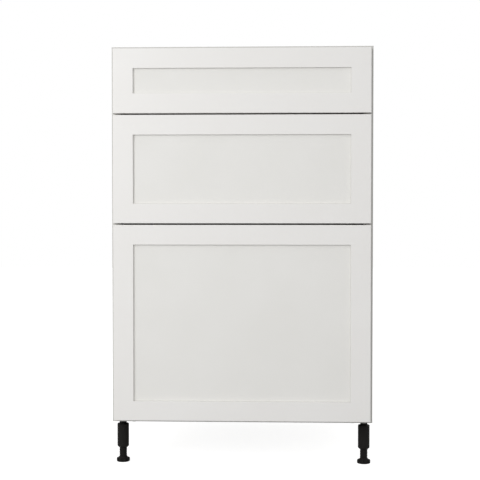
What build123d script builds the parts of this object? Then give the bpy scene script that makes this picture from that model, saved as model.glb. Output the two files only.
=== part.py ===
from build123d import *
import os
from collections import namedtuple

# A fitted-kitchen base cabinet with three drawers, in millimetres.
# The fronts face -Y, +X is to the right of someone facing them, and +Z is up.
# The origin is on the floor, in the middle of the width and of the whole depth.

# ---- Carcass: faced chipboard, standing on four levelling legs ----
carcass_width = 500.0
carcass_height = 720.0
carcass_depth = 560.0
board = 18.0  # thickness of every carcass board
band = 1.0  # plastic edging glued on the front edges
band_round = 0.8  # rounding of its long edges
leg_height = 88.0
rail_depth = 100.0  # front to back, of each flat rail under the worktop
worktop_hole_radius = 2.5
worktop_hole_spacing = 300.0
back_thickness = 3.0
back_inset = 18.0  # service gap between the back panel and the wall
back_groove_depth = 8.0
back_play = 1.0  # gap at the bottom of the groove and at the panel's ends
groove_play = 0.2  # extra width of the groove over the panel

# ---- Fronts: frames of two stiles and two rails, around a thinner panel ----
front_thickness = 20.0
top_front_height = 123.0
middle_front_height = 206.0
front_gap = 3.0  # between two fronts, one above the other
side_reveal = 5.0  # carcass edge left showing on each side of a front
top_reveal = 5.0
bottom_reveal = 5.5
stile_width = 38.0
rail_width = 37.5
recess_depth = 5.0
panel_thickness = 8.0
panel_groove_depth = 6.0
panel_play = 0.5  # gap at the bottom of the panel's groove
front_edge_round = 1.2
bumper_thickness = 2.0  # the pads set the gap between fronts and carcass
bumper_radius = 4.5
bumper_drop = 22.0  # from a front's top edge to the middle of its pads

# ---- Drawer boxes: 15 mm faced boards, bottom let into a groove ----
box_board = 15.0
box_depth = 510.0
box_inset = 21.0  # from a front's lower and upper edge to the box's edges
box_bottom_thickness = 8.0
box_bottom_rise = 14.0  # from the box's lower edge to the underside of its bottom
box_groove_depth = 7.0
box_groove_play = 0.5

# ---- Runners: three nested steel members on two sets of balls, each side ----
runner_space = 12.7  # between the carcass side and the drawer box
runner_length = 500.0
runner_setback = 3.0  # behind the carcass's front edge
runner_rise = 32.0  # from the box's lower edge to the runner's middle
runner_half_height = 22.5
member_steel = 1.2
cabinet_tip = 10.5  # how far the cabinet member's flanges reach from the carcass side
middle_web = 3.2  # from the carcass side to the middle member's web
middle_tip = 10.3
drawer_tip = 5.9  # from the carcass side to the drawer member's flange tips
ball_radius = 1.6
ball_play = 0.05  # between a ball and its track
ball_reach = 7.6  # from the carcass side to the ball centres
outer_track_depth = 0.5  # in the cabinet member and in the drawer member
middle_track_depth = 0.2  # in both faces of the middle member's flanges
cage_steel = 0.7
outer_cage_web = 1.85  # from the carcass side to the outer cage's web
inner_cage_web = 4.8
cage_tip = 10.2
cage_length = 180.0
ball_pitch = 36.0
balls_in_row = 5

# ---- Fasteners ----
thread_play = 0.05  # between a screw or peg and the sides of its hole
runner_screw_radius = 2.3
cabinet_screw_length = 14.0
drawer_member_screw_length = 12.0
runner_screw_front = 34.0  # from the runner's front end to its first screw
runner_screw_rear = 50.0  # from its last screw to the rear end
box_screw_radius = 2.0
box_screw_head_radius = 4.0
box_screw_length = 28.0
box_screw_inset = 7.0  # from the box's lower and upper edges
front_screw_reach = 150.0  # from the middle of the front to its fixing screws
small_screw_radius = 1.75
small_screw_head_radius = 3.6
small_screw_head_height = 2.2
leg_screw_length = 16.0
back_screw_length = 20.0
back_screw_inset = 52.0  # from the side panels to the outer back screws
screw_point = 3.0  # length of the pointed end
cross_recess_length = 3.2
cross_recess_width = 0.8
cross_recess_depth = 0.9
cam_radius = 7.5
cam_height = 12.5
cam_setback = 34.0  # from the board's end to the cam's middle
cam_slot_depth = 1.2
bolt_head_radius = 3.2
bolt_radius = 2.5
bolt_bite = 11.0  # how deep the bolt screws into the side panel
bolt_channel_radius = 3.8
dowel_radius = 4.0
dowel_length = 30.0
dowel_bite = 11.0
dowel_end_play = 1.0
dowel_chamfer = 0.8
joint_inset = 100.0  # from the bottom board's front and back edges to its cams
joint_spacing = 40.0  # between a cam and the dowel beside it

# ---- Legs: plate, sleeve and threaded foot, in black plastic ----
leg_edge = 13.1  # from the cabinet's side to the leg's axis, which is under the side panel
front_leg_setback = 50.0  # from the carcass's front edge to the leg's axis
rear_leg_setback = 50.0  # from the carcass's rear edge
plate_thickness = 4.0
plate_reach = 60.0  # from the leg's axis inwards
plate_half_width = 26.0
plate_corner = 8.0
boss_radius = 9.0
boss_drop = 7.5  # from the board down to the boss's lower end
boss_roof = 2.0  # plastic left above the bore
rib_thickness = 3.0
rib_reach = 30.0
neck_radius = 7.0
neck_play = 0.1
sleeve_radius = 11.4
sleeve_drop = 12.5  # from the board down to the sleeve's shoulder
sleeve_length = 47.0
sleeve_shoulder_chamfer = 1.0
sleeve_end_chamfer = 2.6
sleeve_roof = 2.0  # plastic left above the spindle's bore
spindle_radius = 7.6
spindle_play = 0.1
spindle_top_space = 16.0  # left above the spindle, for screwing the foot up
foot_radius = 13.0
foot_thickness = 7.5
foot_edge_round = 1.8
foot_collar_radius = 9.5
foot_collar_height = 3.0
foot_flutes = 9
flute_radius = 2.2
flute_floor = 1.5  # solid rim left below the flutes
leg_screw_places = ((24.0, 17.0), (24.0, -17.0), (48.0, 0.0))  # inwards, along the cabinet

# ---- Derived places ----
half_width = carcass_width / 2
half_inside = half_width - board
front_half = half_width - side_reveal
opening_half = front_half - stile_width
front_face = -(front_thickness + bumper_thickness + carcass_depth) / 2
front_back = front_face + front_thickness
carcass_front = front_back + bumper_thickness
core_front = carcass_front + band
carcass_rear = carcass_front + carcass_depth
back_rear = carcass_rear - back_inset
back_front = back_rear - back_thickness
carcass_bottom = leg_height
carcass_top = leg_height + carcass_height
rail_underside = carcass_top - board
box_half = half_inside - runner_space
box_inside = box_half - box_board
box_rear = front_back + box_depth
runner_front = carcass_front + runner_setback
last_runner_screw = runner_length - runner_screw_rear
runner_screw_offsets = (runner_screw_front, (runner_screw_front + last_runner_screw) / 2, last_runner_screw)
bottom_front_height = (
    carcass_height - top_reveal - bottom_reveal - 2 * front_gap - top_front_height - middle_front_height
)

Drawer = namedtuple("Drawer", "name front_bottom front_top")
bottom_front = carcass_bottom + bottom_reveal
middle_front = bottom_front + bottom_front_height + front_gap
top_front = middle_front + middle_front_height + front_gap
drawers = (
    Drawer("bottom", bottom_front, bottom_front + bottom_front_height),
    Drawer("middle", middle_front, middle_front + middle_front_height),
    Drawer("top", top_front, top_front + top_front_height),
)


def runner_level(drawer):
    return drawer.front_bottom + box_inset + runner_rise


def write(part, node):
    part.label = node
    export_step(part, f"parts/{node}.step")


def block(x_range, y_range, z_range, mode=Mode.ADD):
    """A box between two places on each axis, in the current part."""
    spans = (x_range, y_range, z_range)
    with Locations(tuple((low + high) / 2 for low, high in spans)):
        Box(*(high - low for low, high in spans), mode=mode)


def both_sides(x, places, outwards):
    """Planes at x and -x for each (y, z), facing away from the middle or towards it."""
    return [
        Plane(origin=(side * x, y, z), z_dir=(side * outwards, 0, 0)) for side in (-1, 1) for y, z in places
    ]


def mirrored(part):
    with BuildPart() as other_side:
        mirror(part, about=Plane.YZ)
    return other_side.part


def screw(shank_radius, head_radius, head_height, length, countersunk):
    """A cross-recess screw along -Z, with the top of its head at the origin."""
    under_head = [] if countersunk else [(head_radius, -head_height)]
    outline = [
        (0, 0),
        (head_radius, 0),
        *under_head,
        (shank_radius, -head_height),
        (shank_radius, screw_point - length),
        (0, -length),
    ]
    with BuildPart() as body:
        with BuildSketch(Plane.XZ):
            with BuildLine():
                Polyline(*outline, close=True)
            make_face()
        revolve(axis=Axis.Z)
        with Locations((0, 0, -cross_recess_depth / 2)):
            Box(cross_recess_length, cross_recess_width, cross_recess_depth, mode=Mode.SUBTRACT)
            Box(cross_recess_width, cross_recess_length, cross_recess_depth, mode=Mode.SUBTRACT)
    return body.part


# ---- Where the fasteners are ----
bolt_rise = board / 2  # bolts and dowels lie in the middle of a board's thickness
front_rail_middle = carcass_front + rail_depth / 2
rear_rail_middle = back_front - rail_depth / 2
bottom_cams = [(carcass_front + joint_inset, carcass_bottom), (back_front - joint_inset, carcass_bottom)]
bottom_dowels = [
    (carcass_front + joint_inset + joint_spacing, carcass_bottom),
    (back_front - joint_inset - joint_spacing, carcass_bottom),
]
front_rail_cams = [(front_rail_middle - joint_spacing / 2, rail_underside)]
front_rail_dowels = [(front_rail_middle + joint_spacing / 2, rail_underside)]
rear_rail_cams = [(rear_rail_middle - joint_spacing / 2, rail_underside)]
rear_rail_dowels = [(rear_rail_middle + joint_spacing / 2, rail_underside)]
all_cams = bottom_cams + front_rail_cams + rear_rail_cams
all_dowels = bottom_dowels + front_rail_dowels + rear_rail_dowels

leg_x = half_width - leg_edge
leg_ys = {"front": carcass_front + front_leg_setback, "rear": carcass_rear - rear_leg_setback}
leg_places = {
    f"{end}_{side}": (sign * leg_x, y)
    for end, y in leg_ys.items()
    for side, sign in (("left", -1), ("right", 1))
}
# At each leg: origin on the underside of the carcass, X pointing inwards.
leg_planes = [
    Plane(origin=(x, y, carcass_bottom), x_dir=(-x, 0, 0), z_dir=(0, 0, 1)) for x, y in leg_places.values()
]

outer_back_screw = half_inside - back_screw_inset
back_screw_places = [
    (x, z)
    for z in (carcass_bottom + bolt_rise, rail_underside + bolt_rise)
    for x in (-outer_back_screw, 0, outer_back_screw)
]
cabinet_screw_places = [
    (runner_front + offset, runner_level(drawer)) for drawer in drawers for offset in runner_screw_offsets
]


def raised(places, height):
    return [(y, z + height) for y, z in places]


def cut_end_joints(cams, dowels):
    """Cam pockets from below, and bolt channels and dowel holes from both ends of a flat board."""
    pockets = [(side * (half_inside - cam_setback), y, z) for side in (-1, 1) for y, z in cams]
    with Locations(*pockets):
        Cylinder(
            cam_radius + thread_play,
            cam_height + thread_play,
            align=(Align.CENTER, Align.CENTER, Align.MIN),
            mode=Mode.SUBTRACT,
        )
    with Locations(*both_sides(half_inside, raised(cams, bolt_rise), 1)):
        Hole(bolt_channel_radius, cam_setback)
    with Locations(*both_sides(half_inside, raised(dowels, bolt_rise), 1)):
        Hole(dowel_radius + thread_play, dowel_length - dowel_bite + dowel_end_play)


def cut_back_screw_holes(level):
    places = [Plane(origin=(x, back_rear, z), z_dir=(0, 1, 0)) for x, z in back_screw_places if z == level]
    with Locations(*places):
        Hole(small_screw_radius + thread_play, back_screw_length)


os.makedirs("parts", exist_ok=True)

# ================= Carcass =================

with BuildPart() as side_panel_left:
    block((-half_width, -half_inside), (core_front, carcass_rear), (carcass_bottom, carcass_top))
    block(
        (-half_inside - back_groove_depth, -half_inside),
        (back_front, back_rear + groove_play),
        (carcass_bottom, carcass_top),
        mode=Mode.SUBTRACT,
    )
    bolt_places = both_sides(half_inside, raised(all_cams, bolt_rise), -1)
    with Locations(*bolt_places[: len(all_cams)]):
        Hole(bolt_radius + thread_play, bolt_bite)
    dowel_places = both_sides(half_inside, raised(all_dowels, bolt_rise), -1)
    with Locations(*dowel_places[: len(all_dowels)]):
        Hole(dowel_radius + thread_play, dowel_bite + dowel_end_play)
    screw_places = both_sides(half_inside, cabinet_screw_places, -1)
    with Locations(*screw_places[: len(cabinet_screw_places)]):
        Hole(runner_screw_radius + thread_play, cabinet_screw_length)
write(side_panel_left.part, "side_panel_left")
write(mirrored(side_panel_left.part), "side_panel_right")

with BuildPart() as bottom_panel:
    block((-half_inside, half_inside), (core_front, back_front), (carcass_bottom, carcass_bottom + board))
    cut_end_joints(bottom_cams, bottom_dowels)
    cut_back_screw_holes(carcass_bottom + bolt_rise)
    with Locations(*[plane.rotated((180, 0, 0)) for plane in leg_planes]):
        with Locations(*leg_screw_places):
            Hole(small_screw_radius + thread_play, leg_screw_length - plate_thickness)
write(bottom_panel.part, "bottom_panel")


def top_rail(front, cams, dowels):
    """A flat rail under the worktop, drilled for the screws that hold the worktop."""
    with BuildPart() as rail:
        block((-half_inside, half_inside), (front, front + rail_depth), (rail_underside, carcass_top))
        cut_end_joints(cams, dowels)
        with Locations((0, front + rail_depth / 2, carcass_top)):
            with GridLocations(worktop_hole_spacing, 1, 2, 1):
                Hole(worktop_hole_radius, board)
    return rail


with BuildPart() as top_rail_front:
    add(top_rail(carcass_front, front_rail_cams, front_rail_dowels).part)
    # The front millimetre is the edging strip's.
    block(
        (-half_inside, half_inside),
        (carcass_front, core_front),
        (rail_underside, carcass_top),
        mode=Mode.SUBTRACT,
    )
write(top_rail_front.part, "top_rail_front")

with BuildPart() as top_rail_rear:
    add(top_rail(back_front - rail_depth, rear_rail_cams, rear_rail_dowels).part)
    cut_back_screw_holes(rail_underside + bolt_rise)
write(top_rail_rear.part, "top_rail_rear")

with BuildPart() as back_panel:
    reach = half_inside + back_groove_depth - back_play
    block((-reach, reach), (back_front, back_rear), (carcass_bottom + back_play, carcass_top - back_play))
    with Locations(*[Plane(origin=(x, back_rear, z), z_dir=(0, 1, 0)) for x, z in back_screw_places]):
        Hole(small_screw_radius + thread_play, back_thickness)
write(back_panel.part, "back_panel")


def edge_band(x_range, z_range):
    """A strip of plastic edging with its two long front edges rounded over."""
    with BuildPart() as strip:
        block(x_range, (carcass_front, core_front), z_range)
        front_edges = strip.edges().group_by(Axis.Y)[0]
        fillet(front_edges.sort_by(SortBy.LENGTH)[-2:], band_round)
    return strip.part


band_spans = (
    ((-half_width, -half_inside), (carcass_bottom, carcass_top)),
    ((half_inside, half_width), (carcass_bottom, carcass_top)),
    ((-half_inside, half_inside), (carcass_bottom, carcass_bottom + board)),
    ((-half_inside, half_inside), (rail_underside, carcass_top)),
)
# The strips touch at the corners but stay four pieces.
write(Compound([edge_band(x_range, z_range).solid() for x_range, z_range in band_spans]), "edge_bands")

with BuildPart() as front_bumpers:
    pad_x = (front_half + half_inside) / 2
    pad_places = [(x, drawer.front_top - bumper_drop) for x in (-pad_x, pad_x) for drawer in drawers]
    with Locations(*[Plane(origin=(x, carcass_front, z), z_dir=(0, -1, 0)) for x, z in pad_places]):
        Cylinder(bumper_radius, bumper_thickness, align=(Align.CENTER, Align.CENTER, Align.MIN))
write(front_bumpers.part, "front_bumpers")

# ================= Joining hardware =================

with BuildPart() as cam_nut:
    # Origin at the middle of the lower face, bolt coming in along -X.
    Cylinder(cam_radius, cam_height, align=(Align.CENTER, Align.CENTER, Align.MIN))
    with Locations(Plane(origin=(-cam_radius, 0, bolt_rise), z_dir=(-1, 0, 0))):
        Hole(bolt_radius + thread_play, cam_radius)
    with Locations((0, 0, bolt_rise)):
        Sphere(bolt_head_radius + thread_play, mode=Mode.SUBTRACT)
    with Locations((0, 0, cam_slot_depth / 2)):
        Box(cam_radius, 2 * cross_recess_width, cam_slot_depth, mode=Mode.SUBTRACT)
        Box(2 * cross_recess_width, cam_radius, cam_slot_depth, mode=Mode.SUBTRACT)

with BuildPart() as cam_nuts:
    # The local -X axis of each cam points at the nearer side panel.
    cam_planes = [
        Plane(origin=(side * (half_inside - cam_setback), y, z), x_dir=(-side, 0, 0), z_dir=(0, 0, 1))
        for side in (-1, 1)
        for y, z in all_cams
    ]
    with Locations(*cam_planes):
        add(cam_nut.part)
write(cam_nuts.part, "cam_nuts")

with BuildPart() as cam_bolt:
    # Origin where the bolt leaves the side panel, screwed in along -Z, head in the cam.
    with Locations((0, 0, -bolt_bite)):
        Cylinder(bolt_radius, bolt_bite + cam_setback, align=(Align.CENTER, Align.CENTER, Align.MIN))
    with Locations((0, 0, cam_setback)):
        Sphere(bolt_head_radius)

with BuildPart() as cam_bolts:
    with Locations(*both_sides(half_inside, raised(all_cams, bolt_rise), -1)):
        add(cam_bolt.part)
write(cam_bolts.part, "cam_bolts")

with BuildPart() as dowel:
    with Locations((0, 0, -dowel_bite)):
        Cylinder(dowel_radius, dowel_length, align=(Align.CENTER, Align.CENTER, Align.MIN))
    chamfer(dowel.edges().filter_by(GeomType.CIRCLE), dowel_chamfer)

with BuildPart() as carcass_dowels:
    with Locations(*both_sides(half_inside, raised(all_dowels, bolt_rise), -1)):
        add(dowel.part)
write(carcass_dowels.part, "carcass_dowels")

back_screw = screw(
    small_screw_radius, small_screw_head_radius, small_screw_head_height, back_screw_length, False
)
with BuildPart() as back_panel_screws:
    head_top = back_rear + small_screw_head_height
    with Locations(*[Plane(origin=(x, head_top, z), z_dir=(0, 1, 0)) for x, z in back_screw_places]):
        add(back_screw)
write(back_panel_screws.part, "back_panel_screws")

# ================= Runners =================
# Sections are drawn with X measured from the carcass side and Y from the runner's middle.

track_radius = ball_radius + ball_play
outer_ball_level = runner_half_height - member_steel + outer_track_depth - track_radius
middle_half_height = outer_ball_level - track_radius + middle_track_depth
inner_ball_level = middle_half_height - member_steel + middle_track_depth - track_radius
drawer_half_height = inner_ball_level - track_radius + outer_track_depth


def channel(web_start, flange_tip, half_height, steel, track_levels):
    """A C-shaped section with ball tracks rolled into its flanges."""
    web_end = web_start + (steel if flange_tip > web_start else -steel)
    with BuildSketch() as section:
        with BuildLine():
            Polyline(
                (web_start, -half_height),
                (flange_tip, -half_height),
                (flange_tip, steel - half_height),
                (web_end, steel - half_height),
                (web_end, half_height - steel),
                (flange_tip, half_height - steel),
                (flange_tip, half_height),
                (web_start, half_height),
                close=True,
            )
        make_face()
        for level in track_levels:
            with Locations((ball_reach, level), (ball_reach, -level)):
                Circle(track_radius, mode=Mode.SUBTRACT)
    return section.sketch


cabinet_section = channel(0, cabinet_tip, runner_half_height, member_steel, [outer_ball_level])
middle_section = channel(
    middle_web, middle_tip, middle_half_height, member_steel, [outer_ball_level, inner_ball_level]
)
drawer_section = channel(runner_space, drawer_tip, drawer_half_height, member_steel, [inner_ball_level])
outer_cage_section = channel(outer_cage_web, cage_tip, outer_ball_level + cage_steel / 2, cage_steel, [])
inner_cage_section = channel(inner_cage_web, cage_tip, inner_ball_level + cage_steel / 2, cage_steel, [])


def left_member(section, levels, start, length):
    """A section run front to back on the left side, once at each level."""
    with BuildPart() as member:
        with BuildSketch(Plane.XZ.offset(-start)):
            with Locations(*[(-half_inside, level) for level in levels]):
                add(section)
        extrude(amount=-length)
    return member.part


def ball_cages(section, ball_level, level):
    """The pressed-steel cage of one left runner and its mirror, each with its two rows of balls."""
    start = runner_front + (runner_length - cage_length) / 2
    middle = start + cage_length / 2
    first_ball = middle - ball_pitch * (balls_in_row - 1) / 2
    ball_places = [
        (ball_reach - half_inside, first_ball + number * ball_pitch, level + side * ball_level)
        for number in range(balls_in_row)
        for side in (-1, 1)
    ]
    with BuildPart() as cage:
        add(left_member(section, [level], start, cage_length))
        with Locations(*ball_places):
            Cylinder(ball_radius + ball_play, 2 * ball_radius, mode=Mode.SUBTRACT)
    with BuildPart() as cages:
        add(cage.part)
        with Locations(*ball_places):
            Sphere(ball_radius)
        mirror(about=Plane.YZ)
    return cages.part


def countersinks(x, places, outwards, depth):
    """Countersunk holes for the runner screws, on both sides of the cabinet."""
    with Locations(*both_sides(x, places, outwards)):
        CounterSinkHole(
            runner_screw_radius + thread_play,
            runner_screw_radius + member_steel + thread_play,
            depth,
            counter_sink_angle=90,
        )


with BuildPart() as cabinet_members:
    runner_levels = [runner_level(drawer) for drawer in drawers]
    add(left_member(cabinet_section, runner_levels, runner_front, runner_length))
    mirror(about=Plane.YZ)
    countersinks(half_inside - member_steel, cabinet_screw_places, -1, member_steel)
write(cabinet_members.part, "cabinet_runner_members")

runner_screw_head = runner_screw_radius + member_steel
cabinet_screw = screw(runner_screw_radius, runner_screw_head, member_steel, cabinet_screw_length, True)
with BuildPart() as cabinet_screws:
    with Locations(*both_sides(half_inside - member_steel, cabinet_screw_places, -1)):
        add(cabinet_screw)
write(cabinet_screws.part, "cabinet_runner_screws")

# ================= Drawers =================

member_screw = screw(runner_screw_radius, runner_screw_head, member_steel, drawer_member_screw_length, True)
box_screw_head_height = box_screw_head_radius - box_screw_radius
box_screw = screw(box_screw_radius, box_screw_head_radius, box_screw_head_height, box_screw_length, True)
member_web_face = half_inside - runner_space + member_steel
panel_front = front_face + recess_depth
panel_rear = panel_front + panel_thickness


def front_frame(drawer):
    """Two full-height stiles, and two rails tenoned into the groove that also holds the panel."""
    low, high = drawer.front_bottom, drawer.front_top
    with BuildPart() as left_stile:
        block((-front_half, -opening_half), (front_face, front_back), (low, high))
        face_edges = left_stile.edges().group_by(Axis.Y)[0]
        fillet(face_edges.sort_by(Axis.X)[:3], front_edge_round)
        block(
            (-opening_half - panel_groove_depth, -opening_half),
            (panel_front, panel_rear),
            (low, high),
            mode=Mode.SUBTRACT,
        )
    with BuildPart() as lower_rail:
        block((-opening_half, opening_half), (front_face, front_back), (low, low + rail_width))
        face_edges = lower_rail.edges().group_by(Axis.Y)[0]
        fillet(face_edges.sort_by(Axis.Z)[:1], front_edge_round)
        tenon_half = opening_half + panel_groove_depth
        block((-tenon_half, tenon_half), (panel_front, panel_rear), (low, low + rail_width))
        block(
            (-tenon_half, tenon_half),
            (panel_front, panel_rear),
            (low + rail_width - panel_groove_depth, low + rail_width),
            mode=Mode.SUBTRACT,
        )
        with Locations(*front_screw_planes(drawer)[:2]):
            Hole(box_screw_radius + thread_play, box_screw_length)
    upper_rail = lower_rail.part.mirror(Plane.XY.offset((low + high) / 2))
    pieces = (left_stile.part, mirrored(left_stile.part), lower_rail.part, upper_rail)
    return Compound([piece.solid() for piece in pieces])


def front_panel(drawer):
    reach = panel_groove_depth - panel_play
    with BuildPart() as panel:
        block(
            (-opening_half - reach, opening_half + reach),
            (panel_front, panel_rear),
            (drawer.front_bottom + rail_width - reach, drawer.front_top - rail_width + reach),
        )
    return panel.part


def box_edges(drawer):
    return drawer.front_bottom + box_inset, drawer.front_top - box_inset


def screw_levels(drawer):
    low, high = box_edges(drawer)
    return low + box_screw_inset, high - box_screw_inset


def front_screw_planes(drawer):
    """On the inner face of the box's front board, heads towards the inside of the box."""
    inner_face = front_back + box_board
    return [
        Plane(origin=(x, inner_face, z), z_dir=(0, 1, 0))
        for z in screw_levels(drawer)
        for x in (-front_screw_reach, front_screw_reach)
    ]


def side_screw_places(drawer):
    """Into the ends of the box's front and back boards, through its sides."""
    middles = (front_back + box_board / 2, box_rear - box_board / 2)
    return [(y, z) for y in middles for z in screw_levels(drawer)]


def member_screw_places(drawer):
    return [(runner_front + offset, runner_level(drawer)) for offset in runner_screw_offsets]


def cut_bottom_groove(drawer, x_range, y_range):
    low = box_edges(drawer)[0] + box_bottom_rise
    block(x_range, y_range, (low, low + box_bottom_thickness), mode=Mode.SUBTRACT)


def box_countersinks(planes):
    with Locations(*planes):
        CounterSinkHole(
            box_screw_radius + thread_play,
            box_screw_head_radius + thread_play,
            box_screw_length,
            counter_sink_angle=90,
        )


def box_side_left(drawer):
    with BuildPart() as side:
        block((-box_half, -box_inside), (front_back, box_rear), box_edges(drawer))
        cut_bottom_groove(
            drawer,
            (-box_inside - box_groove_depth, -box_inside),
            (front_back + box_board - box_groove_depth, box_rear - box_board + box_groove_depth),
        )
        box_countersinks(both_sides(box_half, side_screw_places(drawer), 1)[:4])
        member_holes = both_sides(member_web_face, member_screw_places(drawer), 1)
        with Locations(*member_holes[: len(runner_screw_offsets)]):
            Hole(runner_screw_radius + thread_play, drawer_member_screw_length)
    return side.part


def box_cross_board(drawer, front, groove_side):
    """The box's front or back board, between its sides. groove_side is +1 where the groove faces +Y."""
    rear = front + box_board
    groove = (rear - box_groove_depth, rear) if groove_side > 0 else (front, front + box_groove_depth)
    with BuildPart() as cross_board:
        block((-box_inside, box_inside), (front, rear), box_edges(drawer))
        cut_bottom_groove(drawer, (-box_inside, box_inside), groove)
        with Locations(*both_sides(box_half, side_screw_places(drawer), 1)):
            Hole(box_screw_radius + thread_play, box_screw_length)
        if groove_side > 0:
            box_countersinks(front_screw_planes(drawer))
    return cross_board.part


def box_bottom(drawer):
    reach = box_groove_depth - box_groove_play
    low = box_edges(drawer)[0] + box_bottom_rise
    with BuildPart() as bottom:
        block(
            (-box_inside - reach, box_inside + reach),
            (front_back + box_board - reach, box_rear - box_board + reach),
            (low, low + box_bottom_thickness),
        )
    return bottom.part


def drawer_screws(drawer):
    with BuildPart() as screws:
        with Locations(*both_sides(box_half, side_screw_places(drawer), 1), *front_screw_planes(drawer)):
            add(box_screw)
    return screws.part


def drawer_members(drawer):
    with BuildPart() as members:
        add(left_member(drawer_section, [runner_level(drawer)], runner_front, runner_length))
        mirror(about=Plane.YZ)
        countersinks(member_web_face, member_screw_places(drawer), 1, member_steel)
    return members.part


def member_screws(drawer):
    with BuildPart() as screws:
        with Locations(*both_sides(member_web_face, member_screw_places(drawer), 1)):
            add(member_screw)
    return screws.part


def middle_members(drawer):
    with BuildPart() as members:
        add(left_member(middle_section, [runner_level(drawer)], runner_front, runner_length))
        mirror(about=Plane.YZ)
    return members.part


for drawer in drawers:
    level = runner_level(drawer)
    left_side = box_side_left(drawer)
    write(front_frame(drawer), f"{drawer.name}_front_frame")
    write(front_panel(drawer), f"{drawer.name}_front_panel")
    write(left_side, f"{drawer.name}_box_side_left")
    write(mirrored(left_side), f"{drawer.name}_box_side_right")
    write(box_cross_board(drawer, front_back, 1), f"{drawer.name}_box_front")
    write(box_cross_board(drawer, box_rear - box_board, -1), f"{drawer.name}_box_back")
    write(box_bottom(drawer), f"{drawer.name}_box_bottom")
    write(drawer_screws(drawer), f"{drawer.name}_box_screws")
    write(drawer_members(drawer), f"{drawer.name}_drawer_members")
    write(member_screws(drawer), f"{drawer.name}_member_screws")
    write(middle_members(drawer), f"{drawer.name}_middle_members")
    write(ball_cages(outer_cage_section, outer_ball_level, level), f"{drawer.name}_outer_ball_cages")
    write(ball_cages(inner_cage_section, inner_ball_level, level), f"{drawer.name}_inner_ball_cages")

# ================= Levelling legs =================
# Each leg is drawn at the origin of its plane: Z = 0 is the underside of the carcass.

with BuildPart() as leg_socket:
    with BuildSketch(Plane.XY.offset(-plate_thickness)):
        with Locations(((plate_reach - leg_edge) / 2, 0)):
            RectangleRounded(plate_reach + leg_edge, 2 * plate_half_width, plate_corner)
    extrude(amount=plate_thickness)
    with Locations((0, 0, -boss_drop)):
        Cylinder(boss_radius, boss_drop, align=(Align.CENTER, Align.CENTER, Align.MIN))
    with BuildSketch(Plane.XZ.offset(-rib_thickness / 2)):
        with BuildLine():
            Polyline(
                (neck_radius + neck_play, -plate_thickness),
                (rib_reach, -plate_thickness),
                (boss_radius, -boss_drop),
                (neck_radius + neck_play, -boss_drop),
                close=True,
            )
        make_face()
    extrude(amount=rib_thickness)
    with Locations(Plane(origin=(0, 0, -boss_drop), z_dir=(0, 0, -1))):
        Hole(neck_radius + neck_play, boss_drop - boss_roof)
    with Locations(*leg_screw_places):
        Hole(small_screw_radius + thread_play, plate_thickness)

with BuildPart() as leg_sockets:
    with Locations(*leg_planes):
        add(leg_socket.part)
write(leg_sockets.part, "leg_sockets")

leg_screw = screw(
    small_screw_radius,
    small_screw_head_radius,
    small_screw_head_height,
    leg_screw_length + small_screw_head_height,
    False,
)
with BuildPart() as leg_screws:
    head_level = -plate_thickness - small_screw_head_height
    with Locations(*leg_planes):
        with Locations(*[Plane(origin=(x, y, head_level), z_dir=(0, 0, -1)) for x, y in leg_screw_places]):
            add(leg_screw)
write(leg_screws.part, "leg_socket_screws")

with BuildPart() as leg_sleeve:
    shoulder = -sleeve_drop
    end = shoulder - sleeve_length
    with BuildSketch(Plane.XZ):
        with BuildLine():
            Polyline(
                (0, -boss_roof),
                (neck_radius, -boss_roof),
                (neck_radius, shoulder),
                (sleeve_radius - sleeve_shoulder_chamfer, shoulder),
                (sleeve_radius, shoulder - sleeve_shoulder_chamfer),
                (sleeve_radius, end + sleeve_end_chamfer),
                (sleeve_radius - sleeve_end_chamfer, end),
                (0, end),
                close=True,
            )
        make_face()
    revolve(axis=Axis.Z)
    with Locations(Plane(origin=(0, 0, end), z_dir=(0, 0, -1))):
        Hole(spindle_radius + spindle_play, sleeve_length - sleeve_roof)

with BuildPart() as leg_sleeves:
    with Locations(*leg_planes):
        add(leg_sleeve.part)
write(leg_sleeves.part, "leg_sleeves")

with BuildPart() as foot:
    # Drawn from the floor up: a fluted disc with a threaded spindle.
    spindle_top = leg_height - sleeve_drop - sleeve_roof - spindle_top_space
    with BuildSketch(Plane.XZ) as foot_outline:
        with BuildLine():
            Polyline(
                (0, 0),
                (foot_radius, 0),
                (foot_radius, foot_thickness),
                (foot_collar_radius, foot_thickness),
                (spindle_radius, foot_thickness + foot_collar_height),
                (spindle_radius, spindle_top),
                (0, spindle_top),
                close=True,
            )
        make_face()
        fillet(foot_outline.vertices().group_by(Axis.X)[-1], foot_edge_round)
    revolve(axis=Axis.Z)
    with Locations((0, 0, flute_floor)):
        with PolarLocations(foot_radius, foot_flutes, start_angle=-90):
            Cylinder(
                flute_radius,
                foot_thickness,
                align=(Align.CENTER, Align.CENTER, Align.MIN),
                mode=Mode.SUBTRACT,
            )

for place, (x, y) in leg_places.items():
    with BuildPart() as placed_foot:
        with Locations((x, y, 0)):
            add(foot.part)
    write(placed_foot.part, f"foot_{place}")

print("overall width", carcass_width, "depth", carcass_rear - front_face, "height", carcass_top)
print("front heights", bottom_front_height, middle_front_height, top_front_height)
print("floor to runners", [runner_level(drawer) for drawer in drawers])
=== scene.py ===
# %% [markdown]
# # A kitchen base cabinet with three drawers
# The cabinet's solid pieces are already made, and they come in from model.glb. This lesson gives each
# of them its finish, models the few pieces that need a finer shape than the solids have, and sets up
# the floor, the light and the camera of a plain product photograph.

# %% Load the cabinet
import math

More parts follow.
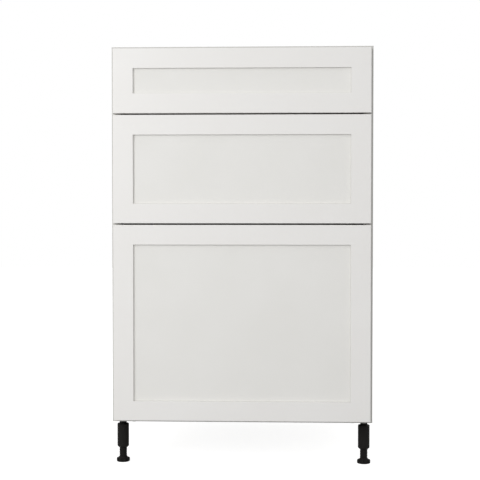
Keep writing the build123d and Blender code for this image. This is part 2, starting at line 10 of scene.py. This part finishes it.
import bpy
import mathutils
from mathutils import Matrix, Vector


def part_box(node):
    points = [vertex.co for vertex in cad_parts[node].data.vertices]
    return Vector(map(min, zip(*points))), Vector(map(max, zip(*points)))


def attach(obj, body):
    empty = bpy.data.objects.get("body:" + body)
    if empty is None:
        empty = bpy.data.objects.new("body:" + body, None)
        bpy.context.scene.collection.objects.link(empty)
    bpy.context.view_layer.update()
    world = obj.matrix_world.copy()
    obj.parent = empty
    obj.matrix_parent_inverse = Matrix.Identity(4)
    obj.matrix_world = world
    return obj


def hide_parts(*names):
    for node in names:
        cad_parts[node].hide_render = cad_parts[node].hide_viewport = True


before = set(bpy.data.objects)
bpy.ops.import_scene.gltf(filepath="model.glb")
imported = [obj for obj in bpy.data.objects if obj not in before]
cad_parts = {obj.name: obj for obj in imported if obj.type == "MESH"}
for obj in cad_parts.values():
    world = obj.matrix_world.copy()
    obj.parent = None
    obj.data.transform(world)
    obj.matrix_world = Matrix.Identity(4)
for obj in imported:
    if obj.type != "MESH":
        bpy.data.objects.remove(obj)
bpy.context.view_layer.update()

# %% [markdown]
# Everything is in metres, with the fronts facing -Y and the floor at Z = 0. Colours are picked the way
# they look on a screen, as hex codes, and Blender works with linear light, so one function turns one
# into the other. A second one adds a node, sets its properties and fills or links its sockets.

# %% Colours, nodes and the start of a finish
MM = 0.001


def linear(code):
    """A hex colour such as #EFEEEC as linear light."""
    shares = [int(code[place:place + 2], 16) / 255 for place in (1, 3, 5)]
    light = [share / 12.92 if share <= 0.04045 else ((share + 0.055) / 1.055) ** 2.4 for share in shares]
    return (*light, 1.0)


def add_node(material, kind, sockets=None, **settings):
    """Adds a node. Its settings are properties, and each socket gets a value or another node's output."""
    node = material.node_tree.nodes.new(kind)
    for name, value in settings.items():
        setattr(node, name, value)
    for name, value in (sockets or {}).items():
        if isinstance(value, bpy.types.NodeSocket):
            material.node_tree.links.new(value, node.inputs[name])
        else:
            node.inputs[name].default_value = value
    return node


def start_finish(name, colour, roughness, metallic=0.0):
    """A material with its plain values, its shader, and the place of each point on the piece."""
    material = bpy.data.materials.new(name)
    material.use_nodes = True
    shader = material.node_tree.nodes["Principled BSDF"]
    shader.inputs["Base Color"].default_value = linear(colour)
    shader.inputs["Roughness"].default_value = roughness
    shader.inputs["Metallic"].default_value = metallic
    place = add_node(material, "ShaderNodeTexCoord").outputs["Object"]
    return material, shader, place


def feed(material, shader, **outputs):
    """Links outputs to the shader's sockets, such as Roughness or Normal."""
    for name, output in outputs.items():
        material.node_tree.links.new(output, shader.inputs[name.replace("_", " ")])


def dress(material, *pieces):
    """Gives pieces a finish, in every material slot they have."""
    for piece in pieces:
        for slot in piece.material_slots:
            slot.material = material
    print(material.name, "on", len(pieces), "pieces")


print("a mid grey, #808080, is", round(linear("#808080")[0], 3), "as linear light")

# %% [markdown]
# Most finishes are made of the same few steps: soft random clouds, arithmetic, a value stretched to
# another range, a mix or a row of colours, and bumps. A function for each of them keeps the finishes
# below short. All the patterns start from the Object coordinates, so they have real sizes and stay on a
# piece when it moves.

# %% The steps that most finishes share
RGBA_RESULT = 2  # which output of a Mix node is its colour


def calculate(material, operation, first, second=0.0):
    """The result of a sum, a comparison and the like."""
    return add_node(material, "ShaderNodeMath", {0: first, 1: second}, operation=operation).outputs[0]


def noise(material, place, size, detail=2.0, roughness=0.5):
    """Soft random clouds between 0 and 1, about as wide as size."""
    sockets = {"Vector": place, "Scale": 1 / size, "Detail": detail, "Roughness": roughness}
    return add_node(material, "ShaderNodeTexNoise", sockets).outputs[0]


def remap(material, value, low, high, from_low=0.0, from_high=1.0):
    """Stretches what runs from from_low to from_high, so that it runs from low to high."""
    sockets = {"Value": value, "From Min": from_low, "From Max": from_high, "To Min": low, "To Max": high}
    return add_node(material, "ShaderNodeMapRange", sockets).outputs[0]


def blend(material, share, first, second):
    """The first colour where the share is 0, and the second where it is 1."""
    sockets = {0: share, 6: first, 7: second}
    return add_node(material, "ShaderNodeMix", sockets, data_type="RGBA").outputs[RGBA_RESULT]


def ramp(material, value, first, last, *between):
    """A colour that changes with a value. A stop is a place from 0 to 1 and a hex code."""
    node = add_node(material, "ShaderNodeValToRGB", {0: value})
    stops = node.color_ramp.elements
    for number, (at, code) in enumerate((first, last)):
        stops[number].position = at
        stops[number].color = linear(code)
    for at, code in between:
        stops.new(at).color = linear(code)
    return node.outputs[0]


def bumps(material, height, strength, depth):
    """A height between 0 and 1 as relief of a depth."""
    return add_node(
        material, "ShaderNodeBump", {"Height": height, "Strength": strength, "Distance": depth}
    ).outputs[0]


# Noise seldom leaves this middle part of its range, so a full stretch starts from here.
NOISE_RANGE = {"from_low": 0.3, "from_high": 0.7}
print("noise is stretched from", *NOISE_RANGE.values())

# %% [markdown]
# ## Lacquered fronts
# The fronts are fibreboard, sprayed with white satin lacquer. Sprayed lacquer never dries quite flat: it
# keeps a fine, soft ripple called orange peel, which breaks up reflections a little. The film's gloss
# also drifts slightly across a front. A noise texture in the bump gives the ripple, and a larger one
# moves the roughness. The centre panel is a separate board: its lacquer came out a shade darker and
# greener than the frame's, and more matt. It floats in the frame's groove, so a hairline joint runs
# round it. A thin darker line is painted along the panel's edge: partly that joint and partly painted
# shade where the frame's rebate meets the panel, on the lit sides as well, so the panel reads as a piece of
# its own.

# %% Satin lacquer, sprayed on fibreboard
DRAWERS = ("top", "middle", "bottom")
X, Y, Z = 0, 1, 2
# The colour of the thin line along the panel's edge, which is partly the joint and partly painted shade.
joint_and_shade_colour = "#CFCEC9"
joint_and_shade_width = 1.2 * MM  # the joint itself is a third of a millimetre; the rest of the line's width is painted shade
panel_hidden = 5.5 * MM  # how far the panel reaches into the frame's groove


def of_each_drawer(*endings):
    return [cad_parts[f"{drawer}_{ending}"] for drawer in DRAWERS for ending in endings]


def joint_and_painted_shade(material, place, low, high):
    """0 along the edge of the panel's visible face and 1 away from it, from the panel's box: the joint and
    its painted shade.
    """
    parts = add_node(material, "ShaderNodeSeparateXYZ", {0: place})
    to_edges = []
    for axis in (X, Z):
        middle = (low[axis] + high[axis]) / 2
        reach = (high[axis] - low[axis]) / 2 - panel_hidden
        offset = calculate(material, "SUBTRACT", parts.outputs[axis], middle)
        distance = calculate(material, "ABSOLUTE", offset)
        to_edges.append(calculate(material, "SUBTRACT", reach, distance))
    nearest = calculate(material, "MINIMUM", *to_edges)
    return remap(material, nearest, 0.0, 1.0, from_high=joint_and_shade_width)


def sprayed_lacquer(name, colour, shade, glossiest, dullest, panel_box=None):
    material, shader, place = start_finish(name, colour, glossiest)
    # Clouds as wide as a hand, between the colour and a slightly deeper shade of it.
    clouds = noise(material, place, 90 * MM)
    tint = blend(material, clouds, linear(colour), linear(shade))
    if panel_box:
        # Painted shade: the panel's edge gets a thin darker line, partly the joint and partly shade beside
        # the frame.
        tint = blend(material, joint_and_painted_shade(material, place, *panel_box), linear(joint_and_shade_colour), tint)
    gloss = remap(material, clouds, glossiest, dullest, **NOISE_RANGE)
    # Orange peel is about 1 mm across; it is drawn at 2 mm so that it shows.
    peel = noise(material, place, 2 * MM, detail=1.0)
    peel_bumps = bumps(material, peel, strength=0.25, depth=0.05 * MM)
    feed(material, shader, Base_Color=tint, Roughness=gloss, Normal=peel_bumps)
    return material


frame_lacquer = sprayed_lacquer("satin_lacquer_frame", "#F1F0EE", "#EDEBE8", glossiest=0.34, dullest=0.44)
dress(frame_lacquer, *of_each_drawer("front_frame"))
for drawer in DRAWERS:
    panel = drawer + "_front_panel"
    panel_lacquer = sprayed_lacquer(
        "matt_lacquer_" + panel, "#EDECE9", "#E9E8E4", glossiest=0.55, dullest=0.65, panel_box=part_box(panel)
    )
    dress(panel_lacquer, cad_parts[panel])

# %% [markdown]
# ## Faced chipboard
# The carcass and the drawer boxes are chipboard pressed between two sheets of white melamine paper. Its
# face is nearly matt, with a fine pearl texture. Where a board is cut and not edged, the chips show: flat
# flakes of pale wood in all directions, with dark resin between them. One material does both. It looks at
# which way the surface faces: square to the board it is melamine, and along a cut or inside a drilled
# hole it is raw.

# %% Melamine face and raw edge
FACING = 0.7  # about the cosine of 45 degrees


def faces(material, axis):
    """1 where the surface faces along an axis, either way, and 0 elsewhere."""
    normal = add_node(material, "ShaderNodeTexCoord").outputs["Normal"]
    parts = add_node(material, "ShaderNodeSeparateXYZ", {0: normal})
    size = calculate(material, "ABSOLUTE", parts.outputs[axis])
    return calculate(material, "GREATER_THAN", size, FACING)


def faced_chipboard(name, colour, across, edged_top=False):
    """Chipboard that is thin along the across axis. A white strip covers an edged top."""
    material, shader, place = start_finish(name, colour, 0.45)
    face = faces(material, across)
    if edged_top:
        face = calculate(material, "MAXIMUM", face, faces(material, Z))
    # Chips 2 to 4 mm long.
    chips = add_node(material, "ShaderNodeTexVoronoi", {"Vector": place, "Scale": 1 / (2.4 * MM)})
    shades = add_node(material, "ShaderNodeSeparateColor", {0: chips.outputs["Color"]})
    wood = ramp(material, shades.outputs[0], (0, "#8F6B45"), (1, "#E2CBA4"), (0.35, "#C7A679"))
    chip_bumps = bumps(material, shades.outputs[1], strength=0.6, depth=0.3 * MM)
    # The pearl texture is finer than half a millimetre; it is drawn at 1.5 mm so that it shows.
    pearl_bumps = bumps(material, noise(material, place, 1.5 * MM), strength=0.3, depth=0.05 * MM)
    both_bumps = add_node(
        material, "ShaderNodeMix", {0: face, 4: chip_bumps, 5: pearl_bumps}, data_type="VECTOR"
    )
    feed(
        material, shader,
        Base_Color=blend(material, face, wood, linear(colour)),
        Roughness=remap(material, face, 0.9, 0.6),
        Normal=both_bumps.outputs[1],
    )
    return material


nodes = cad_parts
dress(
    faced_chipboard("melamine_chipboard_sides", "#ECEBE8", X),
    nodes["side_panel_left"], nodes["side_panel_right"],
)
dress(
    faced_chipboard("melamine_chipboard_flat_boards", "#ECEBE8", Z),
    nodes["bottom_panel"], nodes["top_rail_front"], nodes["top_rail_rear"],
)
dress(
    faced_chipboard("melamine_chipboard_box_sides", "#E9E8E5", X, edged_top=True),
    *of_each_drawer("box_side_left", "box_side_right"),
)
dress(
    faced_chipboard("melamine_chipboard_box_ends", "#E9E8E5", Y, edged_top=True),
    *of_each_drawer("box_front", "box_back"),
)
dress(faced_chipboard("melamine_chipboard_box_bottoms", "#E6E5E2", Z), *of_each_drawer("box_bottom"))

# %% [markdown]
# ## Edging strips and pads
# A millimetre of ABS plastic is glued to the boards' front edges and trimmed by a router, which leaves it
# smooth, a little greyer than the boards, and slightly wavy along its length. The pads behind the fronts
# are cast polyurethane, soft and cloudy.

# %% ABS edging and polyurethane pads
edging, shader, place = start_finish("abs_edging_trimmed", "#C8C7C3", 0.38)
waves = noise(edging, place, 12 * MM, detail=1.0)
feed(
    edging, shader,
    Roughness=remap(edging, waves, 0.3, 0.46),
    Normal=bumps(edging, waves, strength=0.3, depth=0.1 * MM),
)
dress(edging, nodes["edge_bands"])

pads, shader, place = start_finish("polyurethane_pads_cast", "#E4E6E2", 0.25)
shader.inputs["Transmission Weight"].default_value = 0.5
feed(pads, shader, Roughness=remap(pads, noise(pads, place, 3 * MM), 0.15, 0.45))
dress(pads, nodes["front_bumpers"])

# %% [markdown]
# ## Hardboard back
# The back is hardboard, 3 mm thick. Its inner face is lacquered white and smooth. Its outer face is bare
# brown fibre, and it carries the print of the wire screen that it was pressed on. Two crossed wave
# textures give the screen's print, and a fine, rough noise the fibres.

# %% Hardboard, lacquered inside and bare outside
hardboard, shader, place = start_finish("hardboard_pressed", "#8E6A48", 0.85)
normal = add_node(hardboard, "ShaderNodeTexCoord").outputs["Normal"]
facing = add_node(hardboard, "ShaderNodeSeparateXYZ", {0: normal})
inside = calculate(hardboard, "LESS_THAN", facing.outputs[Y], -0.5)
fibre = noise(hardboard, place, 4 * MM, detail=6.0, roughness=0.7)
brown = ramp(hardboard, fibre, (0.3, "#6E4E33"), (0.7, "#A57F58"))
# The screen's wires are about 1.3 mm apart; they are drawn 3 mm apart so that they show.
# A wave texture repeats every pi / 10 of its scaled coordinate.
screen = {"Vector": place, "Scale": math.pi / 10 / (3 * MM)}
across_wires = add_node(hardboard, "ShaderNodeTexWave", screen, bands_direction="X")
down_wires = add_node(hardboard, "ShaderNodeTexWave", screen, bands_direction="Z")
crossings = calculate(hardboard, "MULTIPLY", across_wires.outputs[1], down_wires.outputs[1])
print_strength = remap(hardboard, inside, 0.5, 0.0)
feed(
    hardboard, shader,
    Base_Color=blend(hardboard, inside, brown, linear("#E8E7E3")),
    Roughness=remap(hardboard, inside, 0.85, 0.4),
    Normal=bumps(hardboard, crossings, strength=print_strength, depth=0.3 * MM),
)
dress(hardboard, nodes["back_panel"])

# %% [markdown]
# ## Runners and fasteners
# The runners are steel strip, rolled to shape and then zinc plated. Rolling leaves fine lines along them,
# so their gloss is streaked front to back, and the plating is a cool, slightly cloudy grey. The cages are
# pressed from bright strip, and their balls are polished. Screws are plated too, but tumbled, so they
# have no direction. The cams are die-cast zinc, dull and faintly grainy from the mould.

# %% Zinc, rolled, pressed, tumbled and cast


def rolled_steel(name, colour, roughness, streakiness, line):
    material, shader, place = start_finish(name, colour, roughness, metallic=1.0)
    # Lines as long as a finger. Real rolling marks are much finer; these are wide enough to show.
    long_lines = add_node(
        material, "ShaderNodeMapping", {0: place, "Scale": (1 / line, 1 / (60 * MM), 1 / line)}
    )
    streaks = noise(material, long_lines.outputs[0], 1.0, detail=3.0)
    gloss = remap(material, streaks, roughness - streakiness, roughness + streakiness, **NOISE_RANGE)
    # The plating's clouds are a few centimetres across.
    shade = remap(material, noise(material, place, 30 * MM), 0.9, 1.05, **NOISE_RANGE)
    tint = add_node(
        material, "ShaderNodeVectorMath", {0: linear(colour)[:3], "Scale": shade}, operation="SCALE"
    )
    line_bumps = bumps(material, streaks, strength=0.15, depth=0.05 * MM)
    feed(material, shader, Base_Color=tint.outputs[0], Roughness=gloss, Normal=line_bumps)
    return material


def grainy_metal(name, colour, roughness, grain, depth):
    """Metal with a grain in all directions, drawn coarser than it is so that it shows."""
    material, shader, place = start_finish(name, colour, roughness, metallic=1.0)
    grains = noise(material, place, grain)
    gloss = remap(material, grains, roughness - 0.1, roughness + 0.1)
    feed(material, shader, Roughness=gloss, Normal=bumps(material, grains, strength=0.4, depth=depth))
    return material


dress(
    rolled_steel("zinc_plated_steel_rolled", "#B9BDC0", 0.34, streakiness=0.1, line=0.8 * MM),
    nodes["cabinet_runner_members"], *of_each_drawer("drawer_members", "middle_members"),
)
dress(
    rolled_steel("bright_steel_pressed", "#C9CACB", 0.22, streakiness=0.06, line=0.6 * MM),
    *of_each_drawer("outer_ball_cages", "inner_ball_cages"),
)
dress(
    grainy_metal("zinc_plated_steel_tumbled", "#C6C8C6", 0.3, grain=0.6 * MM, depth=0.02 * MM),
    nodes["cam_bolts"], nodes["back_panel_screws"], nodes["cabinet_runner_screws"],
    nodes["leg_socket_screws"], *of_each_drawer("box_screws", "member_screws"),
)
dress(
    grainy_metal("zinc_die_cast", "#A9ABAC", 0.48, grain=0.9 * MM, depth=0.06 * MM),
    nodes["cam_nuts"],
)

# %% [markdown]
# ## Beech dowels
# The dowels are turned beech: straight grain along the peg, with the short dark flecks that beech has. A
# noise stretched along the dowels gives both, and a row of two colours turns it into wood.

# %% Turned beech
fleck_length, fleck_width = 12 * MM, 0.7 * MM
beech, shader, place = start_finish("beech_turned", "#D2A676", 0.6)
along = add_node(
    beech, "ShaderNodeMapping", {0: place, "Scale": (1 / fleck_length, 1 / fleck_width, 1 / fleck_width)}
)
grain = noise(beech, along.outputs[0], 1.0, detail=3.0)
feed(beech, shader, Base_Color=ramp(beech, grain, (0.35, "#B98753"), (0.6, "#DDB88A")))
dress(beech, nodes["carcass_dowels"])

# %% [markdown]
# ## Black moulded legs
# The legs are moulded from black ABS. The mould was spark-eroded, so the plastic has a fine matt grain and
# throws back little light: only a dim, broad band along each sleeve. Fine noise in the bump and in the
# roughness gives the grain, and a low specular level keeps the black deep.

# %% Black ABS, moulded
leg_plastic, shader, place = start_finish("black_abs_moulded", "#232221", 0.5)
shader.inputs["Specular IOR Level"].default_value = 0.04
# The mould's grain is a few tenths of a millimetre; it is drawn at 0.8 mm so that it shows.
spark = noise(leg_plastic, place, 0.8 * MM)
feed(
    leg_plastic, shader,
    Roughness=remap(leg_plastic, spark, 0.42, 0.62),
    Normal=bumps(leg_plastic, spark, strength=0.3, depth=0.05 * MM),
)
dress(leg_plastic, nodes["leg_sockets"], nodes["leg_sleeves"])

# %% [markdown]
# ## The threaded feet
# A foot is a disc that fingers can turn, with a threaded spindle that climbs into the sleeve. The solid
# has a plain rod where the thread is, so the feet are modelled here. The disc is a cylinder with rounded
# rims and a ring of notches, cut by a boolean. The thread is a small outline that the Screw modifier winds
# round a core. One foot is made at the world's centre, and the four feet are copies of it.

# %% The foot's sizes
FEET = ("foot_front_left", "foot_front_right", "foot_rear_left", "foot_rear_right")
foot_low, foot_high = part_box("foot_front_left")
disc_radius = (foot_high[X] - foot_low[X]) / 2
foot_height = foot_high[Z] - foot_low[Z]
disc_thickness = 7.5 * MM
rim_round = 1.8 * MM
notches = 9
notch_radius = 2.2 * MM
notch_floor = 1.5 * MM  # the notches stop this far above the floor
collar_radius = 9.5 * MM
collar_height = 3 * MM
thread_radius = 7.6 * MM
core_radius = 6.9 * MM
core_edge = 0.8 * MM
thread_pitch = 3 * MM
thread_overlap = 0.2 * MM  # how deep the thread's root is sunk into the core
# The thread's outline along one pitch, in shares of it: where the crest starts and ends, and its far root.
crest_start, crest_end, far_root = 0.35, 0.5, 0.85
bar_sides = 96
steps_per_turn = 48
print("a foot is", round(2 * disc_radius / MM, 1), "mm across and", round(foot_height / MM, 1), "mm tall")

# %% The foot's parts


def round_bar(name, radius, low, high, middle=(0, 0), top_radius=None):
    """A closed cylinder or cone between two heights, with its object at the world's centre."""
    bpy.ops.object.select_all(action="DESELECT")
    bpy.ops.mesh.primitive_cone_add(
        vertices=bar_sides, radius1=radius, radius2=radius if top_radius is None else top_radius,
        depth=high - low,
    )
    bar = bpy.context.object
    bar.name = name
    bpy.ops.object.mode_set(mode="EDIT")
    bpy.ops.transform.translate(value=(*middle, (low + high) / 2))
    bpy.ops.object.mode_set(mode="OBJECT")
    return bar


def apply_modifier(piece, kind, **settings):
    """Adds a modifier to the active piece and applies it."""
    modifier = piece.modifiers.new(kind.lower(), kind)
    for name, value in settings.items():
        setattr(modifier, name, value)
    bpy.ops.object.modifier_apply(modifier=modifier.name)


def join(first, *others):
    """Joins pieces into the first one."""
    bpy.ops.object.select_all(action="DESELECT")
    for piece in (first, *others):
        piece.select_set(True)
    bpy.context.view_layer.objects.active = first
    bpy.ops.object.join()


def notched_disc():
    cutters = [
        round_bar(
            "notch_cutter", notch_radius, notch_floor, 2 * disc_thickness,
            (disc_radius * math.sin(turn), -disc_radius * math.cos(turn)),
        )
        for turn in (number * 2 * math.pi / notches for number in range(notches))
    ]
    join(*cutters)
    disc = round_bar("threaded_foot", disc_radius, 0, disc_thickness)
    apply_modifier(disc, "BEVEL", width=rim_round, segments=5, limit_method="ANGLE")
    apply_modifier(disc, "BOOLEAN", object=cutters[0], operation="DIFFERENCE", solver="EXACT")
    bpy.data.objects.remove(cutters[0])
    return disc


def thread_ridge(low, high):
    """A trapezoid outline, wound up around the core."""
    bpy.ops.object.select_all(action="DESELECT")
    bpy.ops.mesh.primitive_plane_add(size=thread_pitch)
    ridge = bpy.context.object
    root = core_radius - thread_overlap
    outline = (
        (root, 0, low),
        (thread_radius, 0, low + crest_start * thread_pitch),
        (root, 0, low + far_root * thread_pitch),
        (thread_radius, 0, low + crest_end * thread_pitch),
    )
    for corner, place in zip(ridge.data.vertices, outline):
        corner.co = place
    bpy.ops.object.mode_set(mode="EDIT")
    bpy.ops.mesh.select_all(action="SELECT")
    bpy.ops.mesh.delete(type="ONLY_FACE")
    bpy.ops.object.mode_set(mode="OBJECT")
    apply_modifier(
        ridge, "SCREW", angle=2 * math.pi, screw_offset=thread_pitch, steps=steps_per_turn,
        render_steps=steps_per_turn, iterations=int((high - low) / thread_pitch) - 1,
    )
    # The outline leaves a hole with four sides at each end.
    bpy.ops.object.mode_set(mode="EDIT")
    bpy.ops.mesh.select_all(action="SELECT")
    bpy.ops.mesh.fill_holes(sides=4)
    bpy.ops.mesh.normals_make_consistent(inside=False)
    bpy.ops.object.mode_set(mode="OBJECT")
    return ridge


# %% One foot, and its four copies
foot = notched_disc()
collar_top = disc_thickness + collar_height
collar = round_bar("collar", collar_radius, disc_thickness, collar_top, top_radius=thread_radius)
core = round_bar("core", core_radius, disc_thickness, foot_height)
apply_modifier(core, "BEVEL", width=core_edge, segments=2, limit_method="ANGLE")
join(foot, collar, core, thread_ridge(collar_top, foot_height))
bpy.ops.object.shade_smooth_by_angle(angle=math.radians(35))
foot.data.materials.clear()
foot.data.materials.append(leg_plastic)
print("a foot has", len(foot.data.polygons), "faces and is", round(foot.dimensions[Z] / MM, 1), "mm tall")

for node in FEET:
    low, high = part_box(node)
    copy = foot.copy()
    copy.data = foot.data.copy()
    copy.name = "threaded_" + node
    bpy.context.scene.collection.objects.link(copy)
    underside = ((low[X] + high[X]) / 2, (low[Y] + high[Y]) / 2, low[Z])
    copy.data.transform(mathutils.Matrix.Translation(underside))
    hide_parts(node)
    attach(copy, node)
bpy.data.objects.remove(foot)

# %% [markdown]
# ## The floor and the light
# The photograph is a cut-out on pure white. The floor here is pale and matt, and for the camera it also
# glows a little, so that it reads as white while the cabinet still shades it. The world is white where
# the camera or a reflection sees it, and a softer grey where it only lights the cabinet. The main light
# is a soft box a metre wide, in front on the left and a little above the cabinet, so the fronts get
# slightly darker towards the right and the bottom. A small weak one, high on the right, keeps the upper
# right corner from falling off too far.

# %% Floor
floor_size = 14.0
floor_colour = "#BEBEBE"
floor_glow = 0.85


def seen_share(material):
    """1 where the camera, a reflection or a view through glass looks, and 0 where light only falls."""
    path = add_node(material, "ShaderNodeLightPath").outputs
    seen = calculate(material, "MAXIMUM", path["Is Camera Ray"], path["Is Glossy Ray"])
    return calculate(material, "MAXIMUM", seen, path["Is Transmission Ray"])


bpy.ops.object.select_all(action="DESELECT")
bpy.ops.mesh.primitive_plane_add(size=floor_size, location=(0, 0, 0))
floor = bpy.context.object
floor.name = "studio_floor"
floor_paint = bpy.data.materials.new("floor_paint_matt")
floor_paint.use_nodes = True
floor_nodes = floor_paint.node_tree.nodes
floor_nodes.remove(floor_nodes["Principled BSDF"])
paint = add_node(floor_paint, "ShaderNodeBsdfDiffuse", {"Color": linear(floor_colour)})
glow = calculate(floor_paint, "MULTIPLY", seen_share(floor_paint), floor_glow)
light = add_node(floor_paint, "ShaderNodeEmission", {"Color": (1, 1, 1, 1), "Strength": glow})
both = add_node(floor_paint, "ShaderNodeAddShader", {0: paint.outputs[0], 1: light.outputs[0]})
floor_paint.node_tree.links.new(both.outputs[0], floor_nodes["Material Output"].inputs["Surface"])
floor.data.materials.append(floor_paint)
print(floor.name, "is", floor_size, "m wide")

# %% World and lamps
world_lighting = 0.65  # the world's strength where it only lights the cabinet

world = bpy.data.worlds.new("white_studio")
world.use_nodes = True
bpy.context.scene.world = world
background = world.node_tree.nodes["Background"]
background.inputs["Color"].default_value = (1, 1, 1, 1)
strength = remap(world, seen_share(world), world_lighting, 1.0)
world.node_tree.links.new(strength, background.inputs["Strength"])


def soft_box(name, place, target, size, watts):
    lamp = bpy.data.lights.new(name, "AREA")
    lamp.shape = "SQUARE"
    lamp.size = size
    lamp.energy = watts
    holder = bpy.data.objects.new(name, lamp)
    bpy.context.scene.collection.objects.link(holder)
    holder.location = place
    aim = mathutils.Vector(target) - mathutils.Vector(place)
    holder.rotation_euler = aim.to_track_quat("-Z", "Y").to_euler()
    print(name, "is", size, "m wide,", round(aim.length, 2), "m away and has", watts, "W")


soft_box("main_soft_box", place=(-1.3, -2.4, 1.15), target=(-0.1, -0.29, 0.5), size=1.0, watts=25)
soft_box("fill_soft_box", place=(0.9, -1.7, 2.0), target=(0.2, -0.27, 0.6), size=0.6, watts=1.5)

# %% [markdown]
# ## The camera
# The photograph was taken from a little right of the middle, about 2.2 m away, somewhat above half the
# cabinet's height, with a short telephoto lens. The camera is turned slightly to the left and down,
# which is why the cabinet's right side stands a little taller than its left.

# %% Camera
turned_down, turned_left = 0.02874, 0.04051  # radians

camera_data = bpy.data.cameras.new("product_camera")
camera_data.sensor_width = 36.0
camera_data.lens = 87.06
camera = bpy.data.objects.new("product_camera", camera_data)
bpy.context.scene.collection.objects.link(camera)
camera.location = (0.0862, -2.491, 0.5028)
camera.rotation_euler = (math.pi / 2 - turned_down, 0.0, turned_left)
bpy.context.scene.camera = camera
bpy.context.scene.view_settings.view_transform = "Standard"
